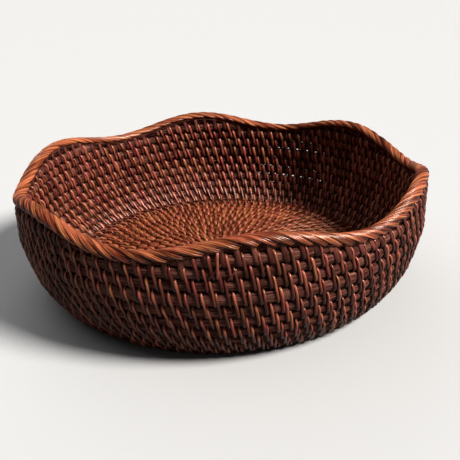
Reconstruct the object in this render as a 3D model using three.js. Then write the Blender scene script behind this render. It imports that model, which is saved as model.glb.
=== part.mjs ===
// Woven fruit basket: a shallow round bowl of stitched cane coils with a scalloped, rolled rim.
// Millimetres, +Z up. The origin is the centre of the circle that the basket stands on.
import * as THREE from 'three';

// ---- driving dimensions -------------------------------------------------------------------

const CLEARANCE = 0.3;            // gap left between pieces that touch on the real basket
const RIM_RADIUS = 130;           // centre line of the rim, from the basket's axis
const WALL_LENGTH = 75.7;         // along the wall's section, from the rim to the lowest coil
const HEEL_ANGLE = 0.904;         // radians; the wall's lean from upright at the lowest coil
const CANE_RADIUS = 3.3;          // usual thick cane, in the heel and under the scallops
// What each full coil takes up along the wall, from the lowest to the top one. Third from the
// top is a stouter cane.
const ROW_THICKNESS = [6.4, 6.4, 6.7, 7.0, 7.3, 7.1, 7.3, 8.5, 7.1, 6.6];
const WALL_ROWS = ROW_THICKNESS.length;

const LOBES = 6;                  // scallops round the rim
const LOBE_HEIGHT = 5.4;          // the rim rises and falls this much about its mean height
const LOBE_PHASE = 0.655;         // radians; direction of the first peak

const RIM_HALF_WIDTH = 4.2;       // rolled border, across the wall
const RIM_HALF_HEIGHT = 2.95;     // rolled border, up and down
const RIM_CORE_RADIUS = 1.8;      // hoop inside the rolled border
const RIM_SLOT_HALF_WIDTH = 0.9;  // the border is open below, where its ends are tucked in

const HEEL_COIL = { radius: 102.2, height: 6.9 };     // coil that turns the wall into the floor
const FLOOR_COIL_RADIUS = 2.9;    // thinner cane of the floor
const FLOOR_PITCH = 7.0;
const FLOOR_RINGS = 13;
const FLOOR_EDGE = { radius: 94.9, height: 7.9 };     // outermost floor coil

const WALL_SEGMENTS = 48;         // facets round a wall coil
const WALL_SIDES = 8;             // facets round the wall's cane
const FLOOR_SIDES = 6;            // facets round the floor's cane
const LOBE_STEPS = 10;            // facets along one scallop of the rim
const FILLER_SIDES = 6;           // facets round a filler's cane
const FILLER_STEPS = 8;           // facets along a filler
const SECTION_STEPS = 60;         // steps used to follow the curve of the wall

// ---- colours and surfaces -----------------------------------------------------------------

const caneMaterial = (name, color, roughness) =>
  new THREE.MeshStandardMaterial({ name, color, roughness, metalness: 0 });

const DARK_CANE = caneMaterial('dark_cane', 0x3f2a22, 0.75);
const FLOOR_CANE = caneMaterial('floor_cane', 0x7a4129, 0.65);
const RIM_CANE = caneMaterial('rim_cane', 0x9a4e30, 0.45);

// ---- the shape of the wall and the rim ----------------------------------------------------

// The lean of the wall from upright, at a distance down from the rim along its section.
function wallLean(distance) {
  return HEEL_ANGLE * (distance / WALL_LENGTH) ** 2;
}

// How far the section has gone inwards and downwards at that distance.
function wallDrop(distance) {
  const step = distance / SECTION_STEPS;
  let inward = 0;
  let down = 0;
  for (let i = 0; i < SECTION_STEPS; i += 1) {
    const lean = wallLean((i + 0.5) * step);
    inward += Math.sin(lean) * step;
    down += Math.cos(lean) * step;
  }
  return { inward, down };
}

// Row 1 is the lowest coil, which the basket stands on.
const rowCaneRadius = (row) => (ROW_THICKNESS[row - 1] - CLEARANCE) / 2;
const RIM_HEIGHT = rowCaneRadius(1) + wallDrop(WALL_LENGTH).down;   // mean height of the rim's centre

function wallCoil(row) {
  let distance = WALL_LENGTH;
  for (let i = 1; i < row; i += 1) distance -= (ROW_THICKNESS[i - 1] + ROW_THICKNESS[i]) / 2;
  const drop = wallDrop(distance);
  return {
    radius: RIM_RADIUS - drop.inward,
    height: RIM_HEIGHT - drop.down,
    lean: wallLean(distance),
    cane: rowCaneRadius(row),
  };
}

function rimWave(angle) {
  return LOBE_HEIGHT * Math.cos(LOBES * (angle - LOBE_PHASE));
}

const lobePeak = (lobe) => LOBE_PHASE + (2 * Math.PI * lobe) / LOBES;

// ---- building blocks ----------------------------------------------------------------------

// A regular polygon whose flats lie on a circle of the given radius, with one flat facing
// straight down before it is turned by the given angle.
function canePolygon(radius, sides, turn) {
  const corner = radius / Math.cos(Math.PI / sides);
  const points = [];
  for (let i = 0; i < sides; i += 1) {
    const angle = -Math.PI / 2 + turn + ((i + 0.5) * 2 * Math.PI) / sides;
    points.push(new THREE.Vector2(corner * Math.cos(angle), corner * Math.sin(angle)));
  }
  return points;
}

// A closed profile turned about the basket's axis; half a facet's turn puts a flat on +X.
function turnedRing(profile, segments) {
  const geometry = new THREE.LatheGeometry(profile, segments, Math.PI / segments);
  geometry.rotateX(Math.PI / 2);
  return geometry;
}

function coilRing(ringRadius, height, caneRadius, sides, turn, segments) {
  const profile = canePolygon(caneRadius, sides, turn)
    .map((corner) => new THREE.Vector2(ringRadius + corner.x, height + corner.y));
  profile.push(profile[0].clone());
  return turnedRing(profile, segments);
}

// Moves each vertex of a geometry to where the given function puts it.
function reshape(geometry, place) {
  const position = geometry.attributes.position;
  for (let i = 0; i < position.count; i += 1) {
    const moved = place(position.getX(i), position.getY(i), position.getZ(i));
    position.setXYZ(i, moved.x, moved.y, moved.z);
  }
  geometry.computeVertexNormals();
  return geometry;
}

function polar(radius, angle, height) {
  return { x: radius * Math.cos(angle), y: radius * Math.sin(angle), z: height };
}

const group = new THREE.Group();

function addPart(name, geometry, material) {
  const mesh = new THREE.Mesh(geometry, material);
  mesh.name = name;
  group.add(mesh);
}

const twoDigits = (number) => String(number).padStart(2, '0');

// ---- floor --------------------------------------------------------------------------------

// The button that the floor's coils start from.
function floorCentre() {
  const radius = FLOOR_EDGE.radius - (FLOOR_RINGS - 0.5) * FLOOR_PITCH - CLEARANCE;
  const bevel = 1.4;
  const half = FLOOR_COIL_RADIUS;
  const z = FLOOR_EDGE.height;
  const profile = [
    new THREE.Vector2(0, z - half),
    new THREE.Vector2(radius - bevel, z - half),
    new THREE.Vector2(radius, z - half + bevel),
    new THREE.Vector2(radius, z + half - bevel),
    new THREE.Vector2(radius - bevel, z + half),
    new THREE.Vector2(0, z + half),
  ];
  return turnedRing(profile, 16);
}

function floorRing(ring) {
  const ringRadius = FLOOR_EDGE.radius - (FLOOR_RINGS - ring) * FLOOR_PITCH;
  const segments = ring > 6 ? 36 : 24;
  return coilRing(ringRadius, FLOOR_EDGE.height, FLOOR_COIL_RADIUS, FLOOR_SIDES, 0, segments);
}

// ---- wall ---------------------------------------------------------------------------------

function heelCoil() {
  return coilRing(HEEL_COIL.radius, HEEL_COIL.height, CANE_RADIUS, WALL_SIDES, 0, WALL_SEGMENTS);
}

function wallRing(row) {
  const coil = wallCoil(row);
  // The lowest coil keeps its flat face down; the others turn with the wall.
  const turn = row === 1 ? 0 : -coil.lean;
  return coilRing(coil.radius, coil.height, coil.cane, WALL_SIDES, turn, WALL_SEGMENTS);
}

// Where a scallop rises above the top full coil, short lengths of cane fill the space. Each one
// tapers to its ends, where the rim comes down to meet the coil below.
const TOP_OF_WALL = wallCoil(WALL_ROWS).height + rowCaneRadius(WALL_ROWS);

function spaceUnderRim(angle) {
  return RIM_HEIGHT + rimWave(angle) - RIM_HALF_HEIGHT - TOP_OF_WALL;
}

// A tapered length of cane centred on a lobe's peak. section(angle) gives its half height and
// the height of its underside.
function fillerCane(lobe, halfSpan, section) {
  const geometry = new THREE.CylinderGeometry(1, 1, 1, FILLER_SIDES, FILLER_STEPS);
  return reshape(geometry, (x, y, z) => {
    const angle = lobePeak(lobe) + 2 * y * halfSpan;
    const { half, underside } = section(angle);
    return polar(RIM_RADIUS + x * half, angle, underside + half + z * half);
  });
}

function thickFiller(lobe) {
  return fillerCane(lobe, 0.37, (angle) => {
    const room = spaceUnderRim(angle) - 2 * CLEARANCE;
    return { half: Math.min(CANE_RADIUS, room / 2), underside: TOP_OF_WALL + CLEARANCE };
  });
}

function thinFiller(lobe) {
  const underside = TOP_OF_WALL + 2 * CLEARANCE + 2 * CANE_RADIUS;
  return fillerCane(lobe, 0.17, (angle) => {
    const room = spaceUnderRim(angle) - 3 * CLEARANCE - 2 * CANE_RADIUS;
    return { half: room / 2, underside };
  });
}

// ---- rim ----------------------------------------------------------------------------------

function rimCore() {
  const geometry = new THREE.TorusGeometry(RIM_RADIUS, RIM_CORE_RADIUS, 6, LOBES * LOBE_STEPS);
  geometry.rotateZ(lobePeak(0));
  return reshape(geometry, (x, y, z) => {
    const angle = Math.atan2(y, x);
    return { x, y, z: z + RIM_HEIGHT + rimWave(angle) };
  });
}

// The section of the rolled border: an oval round the hoop, open below.
function borderSection() {
  const bore = RIM_CORE_RADIUS + 2 * CLEARANCE;
  const outerStart = Math.asin(RIM_SLOT_HALF_WIDTH / RIM_HALF_WIDTH);
  const innerStart = Math.asin(RIM_SLOT_HALF_WIDTH / bore);
  const arc = (start, halfWidth, halfHeight, steps) => {
    const points = [];
    for (let i = 0; i <= steps; i += 1) {
      const angle = -Math.PI / 2 + start + (i * (2 * Math.PI - 2 * start)) / steps;
      points.push(new THREE.Vector2(halfWidth * Math.cos(angle), halfHeight * Math.sin(angle)));
    }
    return points;
  };
  const outer = arc(outerStart, RIM_HALF_WIDTH, RIM_HALF_HEIGHT, 10);
  const inner = arc(innerStart, bore, bore, 8).reverse();
  return new THREE.Shape([...outer, ...inner]);
}

// One scallop's length of the rolled border, from valley to valley.
function borderLobe(lobe) {
  const span = (2 * Math.PI) / LOBES - CLEARANCE / RIM_RADIUS;
  const end = lobePeak(lobe) + span / 2;
  const settings = { depth: 1, steps: LOBE_STEPS, bevelEnabled: false };
  const geometry = new THREE.ExtrudeGeometry(borderSection(), settings);
  return reshape(geometry, (x, y, z) => {
    const angle = end - z * span;
    return polar(RIM_RADIUS + x, angle, RIM_HEIGHT + rimWave(angle) + y);
  });
}

// ---- assembly, from the middle of the floor out and up --------------------------------------

addPart('floor_centre', floorCentre(), FLOOR_CANE);
for (let ring = 1; ring <= FLOOR_RINGS; ring += 1) {
  addPart(`floor_coil_${twoDigits(ring)}`, floorRing(ring), FLOOR_CANE);
}
addPart('heel_coil', heelCoil(), DARK_CANE);
for (let row = 1; row <= WALL_ROWS; row += 1) {
  addPart(`wall_coil_${twoDigits(row)}`, wallRing(row), DARK_CANE);
}
for (let lobe = 0; lobe < LOBES; lobe += 1) {
  addPart(`lobe_filler_thick_${lobe + 1}`, thickFiller(lobe), DARK_CANE);
  addPart(`lobe_filler_thin_${lobe + 1}`, thinFiller(lobe), DARK_CANE);
}
addPart('rim_core', rimCore(), RIM_CANE);
for (let lobe = 0; lobe < LOBES; lobe += 1) {
  addPart(`rim_border_${lobe + 1}`, borderLobe(lobe), RIM_CANE);
}

export default group;
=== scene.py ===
"""Woven fruit basket: cane coils bound by split-cane stitches, with a scalloped, rolled rim.

Every coil is rebuilt over its CAD node, and the stitches, the lashing and the border's strands are
laid round them. Lengths are in millimetres until a mesh is made, and MM turns them into metres.
"""
import math

import bpy
import numpy as np
from mathutils import Matrix, Vector


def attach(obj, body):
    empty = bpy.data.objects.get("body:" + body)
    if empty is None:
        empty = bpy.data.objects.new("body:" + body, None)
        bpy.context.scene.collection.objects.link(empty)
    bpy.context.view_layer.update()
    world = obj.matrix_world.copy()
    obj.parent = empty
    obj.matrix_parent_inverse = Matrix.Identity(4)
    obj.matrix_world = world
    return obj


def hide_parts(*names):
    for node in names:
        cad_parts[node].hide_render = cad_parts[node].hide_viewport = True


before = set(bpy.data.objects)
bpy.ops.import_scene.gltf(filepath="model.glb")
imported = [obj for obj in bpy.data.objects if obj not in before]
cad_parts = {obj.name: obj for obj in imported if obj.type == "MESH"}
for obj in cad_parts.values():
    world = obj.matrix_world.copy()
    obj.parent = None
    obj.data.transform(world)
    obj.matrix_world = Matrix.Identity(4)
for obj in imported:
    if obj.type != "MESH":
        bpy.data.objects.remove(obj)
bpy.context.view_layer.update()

MM = 0.001
TURN = 2 * math.pi
RANDOM = np.random.default_rng(11)

# ---- sizes of the cane, in millimetres --------------------------------------------------------

CORE_PLUMP = 0.12            # a wall coil swells past its CAD solid, until it presses on the next
WALL_STITCHES = 100          # stitches round each wall row
UNEVENNESS = 0.04            # radians; the stitches are closer together at the front
ROW_SHIFT = -0.44            # share of the spacing that each row's stitches are set back by
STITCH_WIDTH = (1.85, 2.5)   # outside and inside
STITCH_HEIGHT = 1.15
FLOOR_STITCH_SPACING = 7.0
FLOOR_STITCH_WIDTH = (2.3, 2.5)
FLOOR_STITCH_HEIGHT = 0.85
LASH_WIDTH = (3.1, 3.0)
LASH_HEIGHT = 1.1
BORDER_BUNDLES = 90          # bundles of strands round the rim
BORDER_STRANDS = 6           # strands in a bundle
BORDER_SWEEP = 3.6           # bundle spacings that a strand travels along the rim
STRAND_WIDTH = 1.2
STRAND_HEIGHT = 0.45
BORDER_HALF_WIDTH = 3.0      # the oval that the border's strands are laid over
BORDER_ABOVE = 2.0
BORDER_BELOW = 2.7
BUNDLE_CROWN = 1.25          # a bundle is this much higher in its middle
BUNDLE_TILT = 0.6            # and it lies this much over the next one
HOOP_HALF_WIDTH = 2.7        # the filling inside it, which hangs down to the top coil
HOOP_ABOVE = 1.7
HOOP_BELOW = 4.8
STANDING_LEVEL = 0.02        # the lowest stitches are worn flat at this height
CORE_LEVEL = 0.15            # and the lowest coil at this height


# ---- what the CAD model says ------------------------------------------------------------------

def node_points(node):
    """A CAD node's vertices, in millimetres."""
    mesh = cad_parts[node].data
    points = np.empty(len(mesh.vertices) * 3)
    mesh.vertices.foreach_get("co", points)
    return points.reshape(-1, 3) / MM


def ring_of(node):
    """The centre circle of a ring-shaped CAD node and the radius of its cane."""
    points = node_points(node)
    section = np.stack([np.hypot(points[:, 0], points[:, 1]), points[:, 2]], axis=-1)
    corners = np.unique(section.round(2), axis=0)
    centre = (section.min(axis=0) + section.max(axis=0)) / 2
    corner_reach = np.hypot(*(section - centre).T).max()
    return {"radius": centre[0], "height": centre[1],
            "cane": corner_reach * math.cos(math.pi / max(len(corners), 6)), "lean": 0.0}


def numbered(prefix):
    return sorted(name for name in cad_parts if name.startswith(prefix))


FLOOR_NODES = numbered("floor_coil_")
WALL_NODES = numbered("wall_coil_")
BORDER_NODES = numbered("rim_border_")
THICK_NODES = numbered("lobe_filler_thick_")
THIN_NODES = numbered("lobe_filler_thin_")
LOBES = len(BORDER_NODES)

FLOOR_RINGS = [ring_of(node) for node in FLOOR_NODES]
HEEL_RING = ring_of("heel_coil")
WALL_RINGS = [ring_of(node) for node in WALL_NODES]
FLOOR_CANE = FLOOR_RINGS[0]["cane"]
for below, coil, above in zip(WALL_RINGS, WALL_RINGS[1:], WALL_RINGS[2:] + WALL_RINGS[-1:]):
    coil["lean"] = math.atan2(above["radius"] - below["radius"], above["height"] - below["height"])
WALL_CANE = HEEL_RING["cane"]

RIM_POINTS = node_points("rim_core")
RIM_REACH = np.hypot(RIM_POINTS[:, 0], RIM_POINTS[:, 1])
RIM_CORE = np.ptp(RIM_REACH) / 2
RIM_RING = {"radius": (RIM_REACH.min() + RIM_REACH.max()) / 2,
            "height": (RIM_POINTS[:, 2].min() + RIM_POINTS[:, 2].max()) / 2}
LOBE_HEIGHT = np.ptp(RIM_POINTS[:, 2]) / 2 - RIM_CORE
RIM_HALF_HEIGHT = np.ptp(node_points(BORDER_NODES[0])[:, 2]) / 2 - LOBE_HEIGHT
FIRST_PEAK = math.atan2(*np.flip(node_points(THICK_NODES[0])[:, :2].mean(0)))
TOP_OF_WALL = WALL_RINGS[-1]["height"] + WALL_RINGS[-1]["cane"]
FILLER_GAP = node_points(THICK_NODES[0])[:, 2].min() - TOP_OF_WALL


def rim_height(angle):
    return RIM_RING["height"] + LOBE_HEIGHT * np.cos(LOBES * (angle - FIRST_PEAK))


def room_under_rim(angle):
    """The height between the top full coil and the rim."""
    return rim_height(angle) - RIM_HALF_HEIGHT - TOP_OF_WALL


# ---- mesh helpers -----------------------------------------------------------------------------

def unit(vectors):
    return vectors / np.linalg.norm(vectors, axis=-1, keepdims=True)


def on_wall(radius, height, angle):
    """Points from a radius, a height and an angle, which may be arrays."""
    radius, height, angle = np.broadcast_arrays(radius, height, angle)
    return np.stack([radius * np.cos(angle), radius * np.sin(angle), height], axis=-1)


def wander(angle, size, waves=(1, 2, 3, 5, 8, 13)):
    """A smooth random drift round the basket, which meets itself after a full turn."""
    total = np.zeros_like(angle)
    for wave in waves:
        total += np.cos(wave * angle + RANDOM.uniform(0, TURN)) * RANDOM.uniform(0.4, 1.0)
    return size * total / len(waves) ** 0.5


def grid_faces(strands, along, around, closed):
    """Faces over strands x along x around vertices, with capped ends unless the strands are closed."""
    index = np.arange(strands * along * around).reshape(strands, along, around)
    steps = along if closed else along - 1
    here = index[:, :steps]
    ahead = np.roll(index, -1, axis=1)[:, :steps]
    quads = np.stack([here, np.roll(here, -1, axis=2), np.roll(ahead, -1, axis=2), ahead], axis=-1)
    faces = quads.reshape(-1, 4).tolist()
    if not closed:
        faces += index[:, 0, ::-1].tolist()
        faces += index[:, -1].tolist()
    return faces


UV_SPREAD = 900              # millimetres; strands start this far apart on the cane's pattern


def grid_uvs(points, closed):
    """For each face corner, millimetres along the strand and round its section."""
    strands, along, around = points.shape[:3]
    centre = points.mean(axis=2)
    stride = np.linalg.norm(np.roll(centre, -1, axis=1) - centre, axis=-1)
    start = np.concatenate([np.zeros((strands, 1)), np.cumsum(stride, axis=1)], axis=1)
    start += RANDOM.uniform(0, UV_SPREAD, (strands, 1))
    girth = np.linalg.norm(np.roll(points, -1, axis=2) - points, axis=-1).mean(axis=(0, 1))
    across = np.concatenate([[0], np.cumsum(girth)]) + RANDOM.uniform(0, UV_SPREAD, (strands, 1))
    steps = along if closed else along - 1
    u = np.empty((strands, steps, around, 4))
    v = np.empty_like(u)
    u[..., 0] = u[..., 1] = start[:, :steps, None]
    u[..., 2] = u[..., 3] = start[:, 1:steps + 1, None]
    v[..., 0] = v[..., 3] = across[:, None, :-1]
    v[..., 1] = v[..., 2] = across[:, None, 1:]
    uvs = np.stack([u, v], axis=-1).reshape(-1, 2)
    if not closed:
        uvs = np.concatenate([uvs, np.zeros((2 * strands * around, 2))])
    return uvs


def grid_object(name, points, closed, tone, material, shade=0.0, lowest=STANDING_LEVEL):
    """An object from strands x along x around points, none of them below the lowest level.

    It has a tone for each strand and step, to which a shade round the section is added.
    """
    strands, along, around = points.shape[:3]
    mesh = bpy.data.meshes.new(name)
    points[..., 2] = np.maximum(points[..., 2], lowest)
    vertices = (points * MM).reshape(-1, 3).tolist()
    mesh.from_pydata(vertices, [], grid_faces(strands, along, around, closed))
    mesh.uv_layers.new(name="cane").data.foreach_set("uv", grid_uvs(points, closed).ravel())
    tones = np.broadcast_to(np.asarray(tone)[..., None] + shade, points.shape[:3])
    mesh.attributes.new("tone", "FLOAT", "POINT").data.foreach_set("value", tones.ravel())
    mesh.polygons.foreach_set("use_smooth", [True] * len(mesh.polygons))
    mesh.materials.append(material)
    made = bpy.data.objects.new(name, mesh)
    bpy.context.scene.collection.objects.link(made)
    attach(made, "root")
    return made


def sweep(path, up, half_width, height, section, closed):
    """Lays a section along strands. The section is in (across, up) units, counterclockwise."""
    if closed:
        tangent = np.roll(path, -1, axis=1) - np.roll(path, 1, axis=1)
    else:
        tangent = np.gradient(path, axis=1)
    tangent = unit(tangent)
    side = unit(np.cross(up, tangent))
    true_up = np.cross(tangent, side)
    across = (half_width[..., None] * section[:, 0])[..., None] * side[:, :, None, :]
    rise = (height[..., None] * section[:, 1])[..., None] * true_up[:, :, None, :]
    return path[:, :, None, :] + across + rise


# Sections of cane in (across, up) units: split cane is rounder than flat cane. Painted shade darkens their
# edges, where a strand meets what it lies on, and a little painted light lifts the crown.
SPLIT_CANE = np.array([(1.0, 0.0), (0.93, 0.45), (0.55, 0.88), (0.0, 1.0),
                       (-0.55, 0.88), (-0.93, 0.45), (-1.0, 0.0)])
FLAT_CANE = np.array([(1.0, 0.0), (0.97, 0.5), (0.72, 0.85), (0.0, 1.0),
                      (-0.72, 0.85), (-0.97, 0.5), (-1.0, 0.0)])
EDGE_SHADE = np.array([-0.5, -0.3, 0.0, 0.1, 0.0, -0.3, -0.5])


# ---- materials --------------------------------------------------------------------------------

FIBRE_SHARE = 0.6            # how much fibres, stains and a piece's tone each move the colour
STAIN_SHARE = 0.4
TONE_SHARE = 0.4
RAMP_STOPS = (0.30, 0.5, 0.72)      # where the dark, middle and light colours lie in that mix
FIBRE_LENGTH_SCALE = 0.06    # fibres are long along the cane, and fine fibres are a little longer
FINE_LENGTH_SCALE = 0.05
FINE_FIBRES = 2.3            # fine fibres to one fibre
STAIN_SCALE = (0.11, 0.16)   # along the cane and round it
HUE_SCALE = (0.035, 0.02)
GROOVE_DEPTH = 0.3 * MM      # of the grooves between fibres
HIGHLIGHT_COLOUR = (1.0, 0.74, 0.64, 1)


def feed(tree, socket, value):
    """Sets a socket to a number, or links another node's output to it."""
    if isinstance(value, (int, float)):
        socket.default_value = value
    else:
        tree.links.new(value, socket)


def calculated(tree, operation, first, second):
    node = tree.nodes.new("ShaderNodeMath")
    node.operation = operation
    feed(tree, node.inputs[0], first)
    feed(tree, node.inputs[1], second)
    return node.outputs["Value"]


def ranged(tree, value, low, high, to_low, to_high):
    """Maps the values between two limits to two other limits."""
    node = tree.nodes.new("ShaderNodeMapRange")
    feed(tree, node.inputs["Value"], value)
    node.inputs["From Min"].default_value = low
    node.inputs["From Max"].default_value = high
    node.inputs["To Min"].default_value = to_low
    node.inputs["To Max"].default_value = to_high
    return node.outputs["Result"]


def cane_noise(tree, along, across, detail):
    """Noise stretched along the cane; the scales are per millimetre along it and round it."""
    uv = tree.nodes.new("ShaderNodeUVMap")
    uv.uv_map = "cane"
    place = tree.nodes.new("ShaderNodeMapping")
    place.inputs["Scale"].default_value = (along, across, 1)
    noise = tree.nodes.new("ShaderNodeTexNoise")
    noise.inputs["Scale"].default_value = 1
    noise.inputs["Detail"].default_value = detail
    noise.inputs["Roughness"].default_value = 0.6
    feed(tree, place.inputs["Vector"], uv.outputs["UV"])
    feed(tree, noise.inputs["Vector"], place.outputs["Vector"])
    return noise.outputs["Fac"]


def cane_ramp(tree, level, dark, middle, light):
    node = tree.nodes.new("ShaderNodeValToRGB")
    ramp = node.color_ramp
    ramp.elements[0].position = RAMP_STOPS[0]
    ramp.elements[0].color = (*dark, 1)
    ramp.elements[1].position = RAMP_STOPS[2]
    ramp.elements[1].color = (*light, 1)
    ramp.elements.new(RAMP_STOPS[1]).color = (*middle, 1)
    feed(tree, node.inputs["Fac"], level)
    return node.outputs["Color"]


def cane_material(name, dark, middle, light, roughness, streaks, bump, hairs, shine, hue_drift=0.006):
    """Cane with fibres along it. Its colour follows the fibres, slow stains and each piece's tone, which
    also carries painted shade and highlights.

    streaks is how many fibres there are in a millimetre; hairs is how strongly the finest pale
    fibres stand out; hue_drift is how much more golden or more purple some lengths of cane are.
    """
    material = bpy.data.materials.new(name)
    material.use_nodes = True
    tree = material.node_tree
    shader = tree.nodes["Principled BSDF"]
    tone = tree.nodes.new("ShaderNodeAttribute")
    tone.attribute_name = "tone"

    fibres = cane_noise(tree, FIBRE_LENGTH_SCALE, streaks, 6)
    fine_fibres = cane_noise(tree, FINE_LENGTH_SCALE, streaks * FINE_FIBRES, 2)
    stains = cane_noise(tree, *STAIN_SCALE, 3)
    mixed = calculated(tree, "ADD", calculated(tree, "MULTIPLY", fibres, FIBRE_SHARE),
                       calculated(tree, "MULTIPLY", stains, STAIN_SHARE))
    haired = calculated(tree, "ADD", mixed, ranged(tree, fine_fibres, 0.50, 0.72, 0.0, hairs))
    tone_change = calculated(tree, "SUBTRACT", tone.outputs["Fac"], 0.5)
    level = calculated(tree, "ADD", haired, calculated(tree, "MULTIPLY", tone_change, TONE_SHARE))

    hue = tree.nodes.new("ShaderNodeHueSaturation")
    hue_noise = cane_noise(tree, *HUE_SCALE, 1)
    feed(tree, hue.inputs["Hue"], ranged(tree, hue_noise, 0.3, 0.7, 0.5 - hue_drift, 0.5 + hue_drift))
    feed(tree, hue.inputs["Color"], cane_ramp(tree, level, dark, middle, light))
    feed(tree, shader.inputs["Base Color"], hue.outputs["Color"])
    feed(tree, shader.inputs["Roughness"], ranged(tree, mixed, 0.3, 0.7, *roughness))

    relief = tree.nodes.new("ShaderNodeBump")
    relief.inputs["Strength"].default_value = bump
    relief.inputs["Distance"].default_value = GROOVE_DEPTH
    fine_relief = calculated(tree, "MULTIPLY", fine_fibres, 0.5)
    feed(tree, relief.inputs["Height"], calculated(tree, "ADD", fibres, fine_relief))
    feed(tree, shader.inputs["Normal"], relief.outputs["Normal"])

    shader.inputs["Specular IOR Level"].default_value = shine
    shader.inputs["Specular Tint"].default_value = HIGHLIGHT_COLOUR
    return material


CORE = cane_material(
    "dark_core_cane", roughness=(0.50, 0.75), streaks=0.9, bump=0.9, hairs=0.28, shine=0.03,
    dark=(0.007, 0.0020, 0.0012), middle=(0.044, 0.0130, 0.0090), light=(0.18, 0.072, 0.054))
STITCH = cane_material(
    "stitch_cane", roughness=(0.25, 0.38), streaks=1.5, bump=0.30, hairs=0.06, shine=0.38, hue_drift=0.016,
    dark=(0.014, 0.0028, 0.0016), middle=(0.080, 0.0155, 0.0085), light=(0.25, 0.070, 0.038))
LASH = cane_material(
    "lashing_cane", roughness=(0.36, 0.52), streaks=1.5, bump=0.4, hairs=0.08, shine=0.18,
    dark=(0.010, 0.0024, 0.0016), middle=(0.064, 0.0150, 0.0100), light=(0.20, 0.062, 0.044))
FLOOR_CORE = cane_material(
    "floor_core_cane", roughness=(0.4, 0.65), streaks=1.2, bump=0.6, hairs=0.10, shine=0.05,
    dark=(0.040, 0.008, 0.0028), middle=(0.13, 0.027, 0.0097), light=(0.22, 0.058, 0.021))
FLOOR_STITCH = cane_material(
    "floor_stitch_cane", roughness=(0.28, 0.42), streaks=1.5, bump=0.3, hairs=0.06, shine=0.3,
    hue_drift=0.010,
    dark=(0.042, 0.0085, 0.0032), middle=(0.118, 0.0255, 0.0100), light=(0.23, 0.064, 0.026))
BORDER = cane_material(
    "border_cane", roughness=(0.25, 0.37), streaks=1.5, bump=0.15, hairs=0.10, shine=0.6, hue_drift=0.014,
    dark=(0.024, 0.0036, 0.0014), middle=(0.14, 0.027, 0.0090), light=(0.38, 0.115, 0.044))


# ---- coils ------------------------------------------------------------------------------------

CORE_SIDES = 32
CORE_SQUARENESS = 3.0        # 2 is a round section; more is flatter where the coils press together
FIBRE_RIDGES = ((4, 0.07), (6, 0.07), (9, 0.06))    # (ridges round the cane, height)
CORE_DRIFT = 0.10            # a coil wanders this much from its circle
TONE_DRIFT = 0.12
CORE_TURN = np.linspace(0, TURN, CORE_SIDES, endpoint=False)
# Painted shade: dark in the grooves between coils, and dark inside, where little of a coil shows.
CORE_SHADE = -0.17 * np.clip(-np.cos(CORE_TURN), 0, 1) - np.abs(np.sin(CORE_TURN)) ** 9


def squared(wave):
    return np.sign(wave) * np.abs(wave) ** (2 / CORE_SQUARENESS)


def core_points(radius, height, half_width, half_height, angle, lean=0.0):
    """A cane of fibrous, slightly uneven section, along the given angles."""
    relief = np.zeros((len(angle), CORE_SIDES))
    for ridges, size in FIBRE_RIDGES:
        drift = wander(angle, 1.6)
        relief += size * np.cos(ridges * CORE_TURN + drift[:, None])
    swell = 1 + wander(angle, 0.012)[:, None]
    across = (half_width[:, None] * swell + relief) * squared(np.cos(CORE_TURN))
    rise = (half_height[:, None] * swell + relief) * squared(np.sin(CORE_TURN))
    outward = across * math.cos(lean) + rise * math.sin(lean)
    upward = rise * math.cos(lean) - across * math.sin(lean)
    return on_wall(radius[:, None] + outward, height[:, None] + upward, angle[:, None])


# The wall is looser here: a little light comes through between some of its coils.
LOOSE_ROWS = (5, 6, 8, 9)
LOOSE_MIDDLE = math.radians(58)
LOOSE_SPREAD = math.radians(15)
LOOSENESS = 0.55             # how much less a coil swells there

RING_STEPS_PER_MM = 3.4      # steps round a ring, for each millimetre of its radius
RING_STEPS_LEAST = 60


def full_coil(name, node, ring, material, plump, looseness=0.0):
    """A closed ring of cane in place of a CAD coil."""
    steps = int(ring["radius"] * RING_STEPS_PER_MM) + RING_STEPS_LEAST
    angle = np.linspace(0, TURN, steps, endpoint=False)
    loose = looseness * np.exp(-((angle - LOOSE_MIDDLE) / LOOSE_SPREAD) ** 4)
    cane = ring["cane"] + plump - loose
    radius = ring["radius"] + wander(angle, CORE_DRIFT)
    height = ring["height"] + wander(angle, CORE_DRIFT)
    points = core_points(radius, height, cane, cane, angle, ring["lean"])
    tone = 0.5 + wander(angle, TONE_DRIFT)
    made = grid_object(name, points[None], True, tone[None], material, CORE_SHADE, CORE_LEVEL)
    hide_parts(node)


KNOT_TURNS = 1.5
KNOT_STEPS = 90
KNOT_START = 0.35            # the knot's cane starts this share of its thickness from the middle
KNOT_TONE = 0.6


def floor_centre():
    """The button in the middle of the floor: a small coiled cane."""
    reach = np.hypot(*node_points("floor_centre")[:, :2].T).max()
    angle = np.linspace(0, KNOT_TURNS * TURN, KNOT_STEPS)
    cane = reach / (2 * KNOT_TURNS + 0.4)
    radius = cane * KNOT_START + (reach - cane * (1 + KNOT_START)) * angle / angle[-1]
    height = np.full(KNOT_STEPS, FLOOR_RINGS[0]["height"] + (FLOOR_CANE - cane) * 0.8)
    half_width = np.full(KNOT_STEPS, cane) * np.minimum(1, np.linspace(0.5, 12, KNOT_STEPS))
    points = core_points(radius, height, half_width, half_width, angle)
    tone = np.full((1, KNOT_STEPS), KNOT_TONE)
    made = grid_object("floor_centre_knot", points[None], False, tone, FLOOR_STITCH,
                       lowest=CORE_LEVEL)
    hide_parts("floor_centre")


FILLER_STEPS = 90
THINNEST_FILLER = 0.3        # half of its height, at its ends


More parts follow.
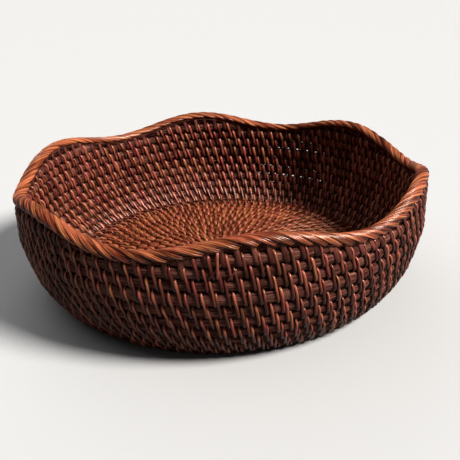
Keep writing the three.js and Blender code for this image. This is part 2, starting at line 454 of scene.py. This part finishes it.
def filler(name, node, half_height_at, underside):
    """A tapered length of cane under a scallop, in place of a CAD filler."""
    points = node_points(node)
    middle = math.atan2(*np.flip(points[:, :2].mean(0)))
    reach = np.arctan2(points[:, 1], points[:, 0]) - middle
    half_span = np.abs((reach + math.pi) % TURN - math.pi).max()
    angle = middle + np.linspace(-half_span, half_span, FILLER_STEPS)
    half = np.maximum(half_height_at(angle) + 0.1, THINNEST_FILLER)
    radius = np.full_like(angle, RIM_RING["radius"])
    shape = core_points(radius, underside + half, half, half, angle)
    tone = 0.5 + wander(angle, TONE_DRIFT)
    made = grid_object(name, shape[None], False, tone[None], CORE, CORE_SHADE, CORE_LEVEL)
    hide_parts(node)


def thick_half_height(angle):
    room = room_under_rim(angle) - 2 * FILLER_GAP
    return np.minimum(WALL_CANE, room / 2)


def thin_half_height(angle):
    room = room_under_rim(angle) - 3 * FILLER_GAP - 2 * WALL_CANE
    return np.maximum(room / 2, THINNEST_FILLER)


# ---- stitches ---------------------------------------------------------------------------------

OUTSIDE_DIP = 0.35           # how deep a stitch dips between two coils
INSIDE_DIP = 0.6
KNUCKLE = 0.3                # how far it stands out at its top outside
INSIDE_KNUCKLE = 0.7         # and the share of that where it stands out inside
OUTSIDE_TONE = 0.34          # a stitch is this much lighter than its cane at its polished end, from polish and a painted highlight
INSIDE_TONE = 0.38
TONE_FALL = 0.85             # it gets this much darker from its polished end to its other end, from less polish and painted shade
SQUEEZE_SHADE = 0.7           # and this much darker where it passes between two coils: painted shade
GROOVE_SHADE = 0.4            # and this much darker in the groove between them: painted shade
WIDTH_SPREAD = (0.86, 1.12)  # thinnest and widest share of the usual width
LIFT_SPREAD = (-0.1, 0.2)    # lowest and highest that a stitch lies, from its usual height
FLOOR_POLISH_AND_HIGHLIGHT = 0.15          # how far up its inside a stitch is polished and has a painted highlight, by the kind of coil
HEEL_POLISH_AND_HIGHLIGHT = 0.2
FIRST_ROW_POLISH_AND_HIGHLIGHT = 0.4
WALL_POLISH_AND_HIGHLIGHT = 0.8


def uneven(angle):
    """Where an evenly spaced angle ends up, as the stitches are closer together at the front."""
    return angle - UNEVENNESS * np.cos(angle)


def loop_shape():
    """Where a stitch lies as it goes once round two coils, from the gap above the upper one.

    Returns the share of the upper coil in its place, the direction from that coil's centre, how far
    along the loop each point is, and the points that bound its outside and inside.
    """
    outside = [(1.0, a) for a in (66, 50, 34, 17, 0)] + [(0.5, 0)]
    outside += [(0.0, a) for a in (0, -17, -34, -50, -66)]
    inside = [(0.0, a) for a in (-114, -130, -146, -163, -180)] + [(0.5, -180)]
    inside += [(1.0, a) for a in (-180, -197, -214, -230, -246)]
    stops = [(1.0, 90)] + outside + [(0.0, -90)] + inside
    share = np.array([stop[0] for stop in stops])
    direction = np.radians([stop[1] for stop in stops])
    spot = np.stack([np.cos(direction), np.sin(direction) + 2 * share], axis=-1)
    stride = np.linalg.norm(np.roll(spot, -1, axis=0) - spot, axis=-1)
    along = np.concatenate([[0], np.cumsum(stride)[:-1]]) / stride.sum()
    return share, direction, along, (1, len(outside), len(outside) + 2, len(stops) - 1)


LOOP_SHARE, LOOP_DIRECTION, LOOP_ALONG, LOOP_BOUNDS = loop_shape()
OUTSIDE_START, OUTSIDE_END, INSIDE_START, INSIDE_END = LOOP_ALONG[list(LOOP_BOUNDS)]
LOOP_FALL = np.clip((LOOP_ALONG - OUTSIDE_START) / (OUTSIDE_END - OUTSIDE_START), 0, 1)
LOOP_CLIMB = np.clip((LOOP_ALONG - INSIDE_START) / (INSIDE_END - INSIDE_START), 0, 1)
LOOP_IS_OUTSIDE = LOOP_ALONG < (OUTSIDE_END + INSIDE_START) / 2


def loop_advance(outside, inside):
    """How much of the spacing a stitch has moved on by at each point of its loop."""
    crossing = (1 - outside - inside) / 4
    middle = (OUTSIDE_END + INSIDE_START) / 2
    knots = (0, OUTSIDE_START, OUTSIDE_END, middle, INSIDE_START, INSIDE_END, 1)
    moves = (crossing, outside, crossing, crossing, inside, crossing)
    return np.interp(LOOP_ALONG, knots, np.concatenate([[0], np.cumsum(moves)]))


WALL_ADVANCE = loop_advance(0.36, 0.55)      # shares of the spacing, outside and inside
FLOOR_ADVANCE = loop_advance(0.38, 0.25)
LASH_ADVANCE = loop_advance(0.52, 0.42)


def anchored(values_outside, values_inside, loops):
    """Spreads one value for the outside and one for the inside of each loop over its points."""
    anchors = np.concatenate([[-0.25], (np.arange(loops)[:, None] + [0.25, 0.75]).ravel(), [loops + 0.25]])
    both = np.stack([values_outside, values_inside], axis=-1).ravel()
    values = np.concatenate([both[-1:], both, both[:1]])
    spots = (np.arange(loops)[:, None] + LOOP_ALONG).ravel()
    return np.interp(spots, anchors, values)


def loop_angles(starts, advance, loops):
    """The angle of each point of a strand whose loops are a little unevenly spaced."""
    shift = anchored(RANDOM.normal(0, 0.06, loops), RANDOM.normal(0, 0.05, loops), loops)
    place = (np.arange(loops)[:, None] + advance).ravel() + shift
    before, after = 2 * starts[0] - starts[1], 2 * starts[-1] - starts[-2]
    return np.interp(place, np.arange(-1, loops + 2), [before, *starts, after])


def loop_tones(loops, fall, climb, squeeze, groove, is_outside, lit_and_polished_at):
    """Each loop is lighter where it stands out, from polish and a painted highlight; painted shade darkens
    it between the coils and in the groove.
    """
    # Outside, a loop is lighter at its top and darker down to its foot: polish, painted highlight and
    # painted shade.
    outside = np.repeat(RANDOM.uniform(0.2, 0.8, loops), len(LOOP_ALONG)) + OUTSIDE_TONE
    outside -= TONE_FALL * fall
    inside = np.repeat(RANDOM.uniform(0.3, 0.9, loops), len(LOOP_ALONG)) + INSIDE_TONE
    # Inside, a loop is lightest where it is polished and has a painted highlight, and darker away from
    # there.
    inside -= TONE_FALL * np.abs(climb - lit_and_polished_at)
    # Painted shade where the loop passes between the coils and dips into the groove.
    inside -= SQUEEZE_SHADE * squeeze + GROOVE_SHADE * groove
    return np.where(is_outside, outside, inside)


def bound_loops(upper, lower, starts, advance, width, height, section, closed,
                lit_and_polished_at=WALL_POLISH_AND_HIGHLIGHT):
    """A strand that winds round two coils, loop after loop, and the tone of each of its points.

    upper and lower give a coil's radius, height and cane radius at an angle. starts has the angle
    where each loop starts, and the angle where the last one ends. lit_and_polished_at is how far up
    its inside a loop stands out, is polished and has a painted highlight.
    """
    loops = len(starts) - 1
    angle = loop_angles(starts, advance, loops)
    share = np.tile(LOOP_SHARE, loops)
    direction = np.tile(LOOP_DIRECTION, loops)
    fall = np.tile(LOOP_FALL, loops)
    climb = np.tile(LOOP_CLIMB, loops)
    is_outside = np.tile(LOOP_IS_OUTSIDE, loops)

    over = np.stack(upper(angle))
    under = np.stack(lower(angle))
    rise = over[:2] - under[:2]
    rise = rise / np.hypot(*rise)
    outward = np.stack([rise[1], -rise[0]])
    centre = under * (1 - share) + over * share
    # The strand dips between the coils, and stands out a little where it is polished.
    groove = share == 0.5
    dip = groove * np.where(is_outside, OUTSIDE_DIP, INSIDE_DIP)
    inside_knuckle = INSIDE_KNUCKLE * np.exp(-((climb - lit_and_polished_at) / 0.2) ** 2)
    knuckle = KNUCKLE * np.where(is_outside, np.exp(-(fall / 0.16) ** 2), inside_knuckle)
    lift = anchored(RANDOM.uniform(*LIFT_SPREAD, loops), RANDOM.uniform(*LIFT_SPREAD, loops), loops)
    reach = centre[2] - dip + lift + knuckle
    squareness = 1 + 0.10 * np.abs(np.sin(2 * direction)) ** 1.5
    away = np.cos(direction) * outward + np.sin(direction) * rise
    spot = centre[:2] + reach * squareness * away

    path = on_wall(spot[0], spot[1], angle)
    up = on_wall(away[0], away[1], angle)
    # The strand is squeezed where it passes between coils, and narrower at its top.
    squeeze = np.abs(np.sin(direction)) ** 3
    wide_outside = width[0] * RANDOM.uniform(*WIDTH_SPREAD, loops)
    wide_inside = width[1] * RANDOM.uniform(*WIDTH_SPREAD, loops)
    taper = np.where(is_outside, 0.85 + 0.30 * fall, 0.98 + 0.04 * climb)
    half_width = anchored(wide_outside, wide_inside, loops) / 2 * taper * (1 - 0.30 * squeeze)
    tall = height * (1 - 0.45 * squeeze)
    points = sweep(path[None], up[None], half_width[None], tall[None], section, closed)
    tone = loop_tones(loops, fall, climb, squeeze, groove, is_outside, lit_and_polished_at)
    return points, tone[None]


def steady(ring, plump=CORE_PLUMP):
    """A full coil as a function of the angle."""
    def at(angle):
        same = np.ones_like(angle)
        return ring["radius"] * same, ring["height"] * same, (ring["cane"] + plump) * same
    return at


def stitch_angles(phase, count):
    """Start angles of a number of wall stitches, and the angle where the last one ends."""
    return uneven((phase + np.arange(count + 1)) * TURN / WALL_STITCHES)


def repeats_between(start, end, phase, round_count):
    """The phase of the first repeat that starts between two angles, and how many do."""
    places = np.arange(-round_count, 3 * round_count) + phase
    angles = uneven(places * TURN / round_count)
    inside = (angles >= start) & (angles < end)
    return places[inside][0], np.count_nonzero(inside)


def wall_stitches(name, upper, lower, phase, lit_and_polished_at):
    points, tone = bound_loops(steady(upper), steady(lower), stitch_angles(phase, WALL_STITCHES),
                               WALL_ADVANCE, STITCH_WIDTH, STITCH_HEIGHT, SPLIT_CANE, True, lit_and_polished_at)
    grid_object(name, points, True, tone, STITCH, EDGE_SHADE)


FLOOR_SHIFT = 0.58           # share of the spacing that each floor coil's stitches are moved on by
SMOOTHING_ROUNDS = 6         # these even out the spacing where stitches were added


def next_ring_angles(angles, count):
    """Start angles of the stitches of the next floor coil out.

    Each stitch goes between two of the coil before, and a few are added to keep their spacing.
    """
    gaps = np.diff(angles, append=angles[0] - TURN)
    made = angles + FLOOR_SHIFT * gaps
    extra = count - len(made)
    if extra > 0:
        places = (np.arange(extra) + RANDOM.uniform(0.2, 0.8, extra)) * len(made) / extra
        places = places.astype(int)
        made = np.insert(made, places + 1, made[places] + gaps[places] / 2)
    for _ in range(SMOOTHING_ROUNDS):
        ahead = np.append(made[1:], made[0] - TURN)
        behind = np.insert(made[:-1], 0, made[-1] + TURN)
        made = made / 2 + (ahead + behind) / 4
    return made


def floor_stitches(name, outer, inner, angles):
    """Stitches of the floor, which run round the other way."""
    starts = np.append(angles, angles[0] - TURN)
    points, tone = bound_loops(steady(outer, 0), steady(inner, 0), starts, FLOOR_ADVANCE,
                               FLOOR_STITCH_WIDTH, FLOOR_STITCH_HEIGHT, SPLIT_CANE, True, FLOOR_POLISH_AND_HIGHLIGHT)
    grid_object(name, points, True, tone, FLOOR_STITCH, 0.6 * EDGE_SHADE)


def thick_filler_at(angle):
    half = np.maximum(thick_half_height(angle), 0.8)
    same = np.ones_like(angle)
    return RIM_RING["radius"] * same, TOP_OF_WALL + FILLER_GAP + half, half


LASH_SETBACK = 0.5           # the lashing runs this far below and inside the hoop's surface


def rim_core_at(angle):
    same = np.ones_like(angle)
    return RIM_RING["radius"] * same, rim_height(angle) - LASH_SETBACK, (RIM_CORE - LASH_SETBACK) * same


def open_strands(name, upper, lower, spans, phase, advance, width, height, section, material):
    """Winds one open strand of stitches over each span of angles."""
    for number, (start, end) in enumerate(spans, 1):
        starts = stitch_angles(*repeats_between(start, end, phase, WALL_STITCHES))
        points, tone = bound_loops(upper, lower, starts, advance, width, height, section, False)
        grid_object(f"{name}_{number}", points, False, tone, material, EDGE_SHADE)


# Where a new length of cane was joined in, just under the rim at the front: the ends cross the
# stitches. Each has a start and an end (direction in degrees, height), its width and its tone.
JOIN_ENDS = (((-91.1, 73.4), (-91.3, 58.4), 1.7, 0.95), ((-90.1, 68.0), (-93.6, 57.9), 1.5, 0.35),
             ((-87.3, 63.6), (-89.2, 57.9), 1.5, 0.4))
JOIN_RADIUS = 133.2
JOIN_LIFTS = (1.0, 0.45, 0.45)       # the first one lies over the others
JOIN_HEIGHT = 0.9
JOIN_TUCK = 2.4                      # their tips are tucked in this far


def joined_ends():
    """The crossing ends of a joint in the cane, which are tucked in at their tips."""
    share = np.linspace(0, 1, 16)
    shapes = []
    for (start, end, _, _), lift in zip(JOIN_ENDS, JOIN_LIFTS):
        angle = np.radians(start[0] + (end[0] - start[0]) * share)
        height = start[1] + (end[1] - start[1]) * share
        tucked = np.clip((share - 0.85) / 0.15, 0, 1) ** 2 + np.clip((0.12 - share) / 0.12, 0, 1) ** 2
        path = on_wall(JOIN_RADIUS + lift - JOIN_TUCK * tucked, height, angle)
        shapes.append((path, on_wall(1.0, 0.0, angle)))
    path = np.stack([shape[0] for shape in shapes])
    up = np.stack([shape[1] for shape in shapes])
    half_width = np.array([[end[2] / 2] for end in JOIN_ENDS]) * np.ones(len(share))
    tone = np.array([[end[3]] for end in JOIN_ENDS]) - 0.5 * share
    points = sweep(path, up, half_width, np.full_like(half_width, JOIN_HEIGHT), SPLIT_CANE, False)
    grid_object("joined_ends", points, False, tone, STITCH, EDGE_SHADE)


# ---- rim --------------------------------------------------------------------------------------

BORDER_PHASE = 0.3           # share of the spacing, from an even start at +X
HOOP_STEPS = 480
STRAND_STEPS = 36
STRAND_START = 215           # direction from the rim's middle where a strand starts, in degrees
FOLD_DIRECTION = -26         # and where the strand at a bundle's side folds under
MIDDLE_FOLD = 18             # a bundle's middle strand folds this much later
FOLD_SHARE = 0.86            # share of a strand before its fold
FOLD_TURN = 55               # the strand turns this much further as it tucks under
TIP_TUCK = 2.0               # how far a strand sinks in at its tip
START_TUCK = 1.2             # and at its start


def rim_hoop():
    """The filling of the rim, which the border's strands lie over.

    Next to a valley it also fills the last of the space above the top coil.
    """
    angle = np.linspace(0, TURN, HOOP_STEPS, endpoint=False)
    same = np.ones(HOOP_STEPS)
    top = rim_height(angle) + HOOP_ABOVE
    bottom = np.maximum(TOP_OF_WALL - 0.1, rim_height(angle) - HOOP_BELOW)
    points = core_points(RIM_RING["radius"] * same, (top + bottom) / 2, HOOP_HALF_WIDTH * same,
                         (top - bottom) / 2, angle)
    # The hoop's tone is lower than the coils': painted shade where it shows between the border's strands.
    tone = 0.3 + wander(angle, 0.1)
    made = grid_object("rim_hoop", points[None], True, tone[None], CORE, lowest=CORE_LEVEL)
    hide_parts("rim_core")


def border_lobe(lobe):
    """One scallop's bundles, each laid from inside, over the top, to the outer lower edge."""
    spacing = TURN / BORDER_BUNDLES
    start = FIRST_PEAK + (lobe - 0.5) * TURN / LOBES
    first, bundles = repeats_between(start, start + TURN / LOBES, BORDER_PHASE, BORDER_BUNDLES)
    bundle = np.repeat(np.arange(bundles), BORDER_STRANDS)
    strand = np.tile(np.linspace(-0.5, 0.5, BORDER_STRANDS), bundles)
    middle = np.cos(strand * math.pi)               # 1 for a bundle's middle strand, 0 for its sides

    def for_bundles(spread):
        return np.repeat(RANDOM.normal(0, spread, bundles), BORDER_STRANDS)[:, None]

    # A strand goes over the rim while it travels along it, and then folds sharply under. The
    # strands at a bundle's sides fold sooner, so the bundle has a rounded tip.
    progress = np.linspace(0, 1, STRAND_STEPS)
    over = np.clip(progress / FOLD_SHARE, 0, 1)
    folded = np.clip((progress - FOLD_SHARE) / (1 - FOLD_SHARE), 0, 1)
    fold_at = FOLD_DIRECTION - MIDDLE_FOLD * middle[:, None] + for_bundles(4)
    turn = np.radians(STRAND_START + (fold_at - STRAND_START) * over - FOLD_TURN * folded)
    tuck = TIP_TUCK * folded ** 1.5 + START_TUCK * np.clip(1 - progress / 0.15, 0, 1) ** 2

    # Strands lie side by side along the rim and draw together into a rounded tip.
    gather = np.interp(progress, (0, 0.35, 0.6, FOLD_SHARE, 1), (0.6, 0.95, 0.95, 0.5, 0.3))
    slip = RANDOM.normal(0, 0.012, (len(bundle), 1))
    offset = strand[:, None] * gather + bundle[:, None] + slip + for_bundles(0.05)
    lag = (BORDER_SWEEP + for_bundles(0.15)) * (over - 1) + 0.12 * folded
    angle = uneven(spacing * (first + offset + lag))

    # Bundles lie flat side by side inside and on top, and stand up more and more towards the tip.
    raised = 0.3 + 0.7 * np.clip((progress - 0.35) / 0.4, 0, 1)
    crown = (BUNDLE_CROWN * middle + BUNDLE_TILT * strand)[:, None] * raised
    rest = crown - tuck + RANDOM.normal(0, 0.05, (len(bundle), 1))
    across = (BORDER_HALF_WIDTH + rest) * np.cos(turn)
    half_height = np.where(np.sin(turn) > 0, BORDER_ABOVE, BORDER_BELOW)
    rise = (half_height + rest) * np.sin(turn)
    path = on_wall(RIM_RING["radius"] + across, rim_height(angle) + rise, angle)
    facing = np.stack([np.cos(turn) / BORDER_HALF_WIDTH, np.sin(turn) / half_height])
    facing = facing / np.hypot(*facing)
    up = on_wall(facing[0], facing[1], angle)
    half_width = STRAND_WIDTH / 2 * RANDOM.uniform(0.85, 1.12, (len(bundle), 1)) * (0.65 + 0.4 * gather)
    tall = np.full_like(half_width, STRAND_HEIGHT)
    points = sweep(path, up, half_width, tall, SPLIT_CANE, False)
    bundle_tone = np.repeat(RANDOM.uniform(0.25, 0.75, bundles), BORDER_STRANDS)
    # Bundles and strands differ in tone at random; painted light and shade also make each bundle lighter
    # in its middle and darker at its sides, and painted shade darkens each strand where it folds under.
    tone = bundle_tone + RANDOM.uniform(-0.3, 0.3, len(bundle)) + 0.3 * (middle - 0.6)
    tones = tone[:, None] - 0.3 * folded
    made = grid_object(f"rim_border_strands_{lobe + 1}", points, False, tones, BORDER,
                       0.7 * EDGE_SHADE)
    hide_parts(BORDER_NODES[lobe])


# ---- the basket -------------------------------------------------------------------------------

CENTRE_STITCH_RADIUS = 4.2   # the innermost stitches go in here


def floor():
    floor_centre()
    inner = {**FLOOR_RINGS[0], "radius": CENTRE_STITCH_RADIUS}
    angles = np.zeros(0)
    for number, (node, ring) in enumerate(zip(FLOOR_NODES, FLOOR_RINGS), 1):
        full_coil(f"floor_cane_{number:02d}", node, ring, FLOOR_CORE, 0)
        count = round(TURN * ring["radius"] / FLOOR_STITCH_SPACING)
        angles = next_ring_angles(angles, count) if number > 1 else -np.arange(count) * TURN / count
        floor_stitches(f"floor_stitches_{number:02d}", ring, inner, angles)
        inner = ring


def wall():
    full_coil("heel_cane", "heel_coil", HEEL_RING, FLOOR_CORE, CORE_PLUMP)
    wall_stitches("heel_stitches", HEEL_RING, FLOOR_RINGS[-1], 0, HEEL_POLISH_AND_HIGHLIGHT)
    lower = HEEL_RING
    for row, (node, ring) in enumerate(zip(WALL_NODES, WALL_RINGS), 1):
        plump = CORE_PLUMP if row > 1 else 0
        looseness = LOOSENESS if row in LOOSE_ROWS else 0.0
        lit_and_polished_at = WALL_POLISH_AND_HIGHLIGHT if row > 1 else FIRST_ROW_POLISH_AND_HIGHLIGHT
        full_coil(f"wall_cane_{row:02d}", node, ring, CORE, plump, looseness)
        wall_stitches(f"wall_stitches_{row:02d}", ring, lower, row * ROW_SHIFT, lit_and_polished_at)
        lower = ring


HALF_PEAK = 0.27             # radians; the lashing holds a filler this far on either side of a peak


def lobes():
    thick_floor = TOP_OF_WALL + FILLER_GAP
    thin_floor = thick_floor + 2 * WALL_CANE + FILLER_GAP
    rows = len(WALL_RINGS)
    for lobe, (thick, thin) in enumerate(zip(THICK_NODES, THIN_NODES), 1):
        filler(f"lobe_cane_thick_{lobe}", thick, thick_half_height, thick_floor)
        filler(f"lobe_cane_thin_{lobe}", thin, thin_half_height, thin_floor)

    # Where a scallop rises, the lashing holds the thick filler; in a valley it holds the top coil.
    peaks = [FIRST_PEAK + lobe * TURN / LOBES for lobe in range(LOBES)]
    on_peaks = [(peak - HALF_PEAK, peak + HALF_PEAK) for peak in peaks]
    in_valleys = [(peak + HALF_PEAK, peak + TURN / LOBES - HALF_PEAK) for peak in peaks]
    top_coil = steady(WALL_RINGS[-1])
    peak_phase = (rows + 1) * ROW_SHIFT
    valley_phase = rows * ROW_SHIFT
    open_strands("lobe_stitches", thick_filler_at, top_coil, on_peaks, peak_phase, WALL_ADVANCE,
                 STITCH_WIDTH, STITCH_HEIGHT, SPLIT_CANE, STITCH)
    open_strands("lashing_peak", rim_core_at, thick_filler_at, on_peaks, peak_phase - 0.56, LASH_ADVANCE,
                 LASH_WIDTH, LASH_HEIGHT, FLAT_CANE, LASH)
    open_strands("lashing_valley", rim_core_at, top_coil, in_valleys, valley_phase - 0.5, LASH_ADVANCE,
                 LASH_WIDTH, LASH_HEIGHT, FLAT_CANE, LASH)


def rim():
    rim_hoop()
    joined_ends()
    for lobe in range(LOBES):
        border_lobe(lobe)


floor()
wall()
lobes()
rim()


# ---- studio -----------------------------------------------------------------------------------

GROUND_SIZE = 6.0                        # metres, from the middle to a side
GROUND_SEEN, GROUND_CAST = 0.36, 0.16    # brightness for the camera, and for the light passed on
SKY_SEEN, SKY_CAST = 0.82, 0.07


def seen_and_cast(tree, seen, cast, socket):
    """Sets one brightness for what the camera sees, and another for the light that is passed on."""
    path = tree.nodes.new("ShaderNodeLightPath")
    feed(tree, socket, ranged(tree, path.outputs["Is Camera Ray"], 0, 1, cast, seen))


def studio_material():
    material = bpy.data.materials.new("studio_white")
    material.use_nodes = True
    shader = material.node_tree.nodes["Principled BSDF"]
    shader.inputs["Roughness"].default_value = 0.9
    seen_and_cast(material.node_tree, GROUND_SEEN, GROUND_CAST, shader.inputs["Base Color"])
    return material


def studio_floor():
    mesh = bpy.data.meshes.new("studio_floor")
    corners = [(GROUND_SIZE * x, GROUND_SIZE * y, 0) for x, y in ((-1, -1), (1, -1), (1, 1), (-1, 1))]
    mesh.from_pydata(corners, [], [(0, 1, 2, 3)])
    mesh.materials.append(studio_material())
    floor_object = bpy.data.objects.new("studio_floor", mesh)
    bpy.context.scene.collection.objects.link(floor_object)


def sun(name, azimuth, elevation, strength, softness, colour, highlights):
    """A distant light from the given direction, in degrees, with or without highlights."""
    light = bpy.data.lights.new(name, "SUN")
    light.energy = strength
    light.angle = math.radians(softness)
    light.color = colour
    lamp = bpy.data.objects.new(name, light)
    lamp.visible_glossy = highlights
    azimuth, elevation = math.radians(azimuth), math.radians(elevation)
    towards = Vector((math.cos(elevation) * math.cos(azimuth), math.cos(elevation) * math.sin(azimuth),
                      math.sin(elevation)))
    lamp.rotation_euler = towards.to_track_quat("Z", "Y").to_euler()
    bpy.context.scene.collection.objects.link(lamp)


def studio():
    studio_floor()
    sun("key_light", azimuth=-25, elevation=45, strength=8.8, softness=18,
        colour=(1.0, 0.97, 0.93), highlights=True)
    sun("overhead_light", azimuth=140, elevation=72, strength=1.1, softness=70,
        colour=(0.96, 0.97, 1.0), highlights=False)
    sun("back_light", azimuth=100, elevation=22, strength=1.1, softness=50,
        colour=(1.0, 1.0, 1.0), highlights=False)
    world = bpy.context.scene.world or bpy.data.worlds.new("studio_world")
    bpy.context.scene.world = world
    world.use_nodes = True
    background = world.node_tree.nodes["Background"]
    background.inputs["Color"].default_value = (1, 1, 1, 1)
    seen_and_cast(world.node_tree, SKY_SEEN, SKY_CAST, background.inputs["Strength"])
    bpy.context.scene.view_settings.view_transform = "Standard"


# The camera looks down at the basket from close in front, with its right side a little raised.
CAMERA_DISTANCE = 0.445
CAMERA_ELEVATION = math.radians(22.4)
CAMERA_ROLL = math.radians(2.0)
CAMERA_AIM = Vector((0, 0, 0.0367))
CAMERA_LENS = 50.1
CAMERA_SHIFT = (0.0188, -0.0283)


def camera():
    data = bpy.data.cameras.new("camera")
    data.lens = CAMERA_LENS
    data.sensor_width = 36
    data.shift_x, data.shift_y = CAMERA_SHIFT
    data.clip_start = 0.01
    away = Vector((0, -math.cos(CAMERA_ELEVATION), math.sin(CAMERA_ELEVATION)))
    made = bpy.data.objects.new("camera", data)
    facing = (-away).to_track_quat("-Z", "Y").to_matrix()
    made.matrix_world = (Matrix.Translation(CAMERA_AIM + CAMERA_DISTANCE * away)
                         @ (facing @ Matrix.Rotation(-CAMERA_ROLL, 3, "Z")).to_4x4())
    bpy.context.scene.collection.objects.link(made)
    bpy.context.scene.camera = made


studio()
camera()
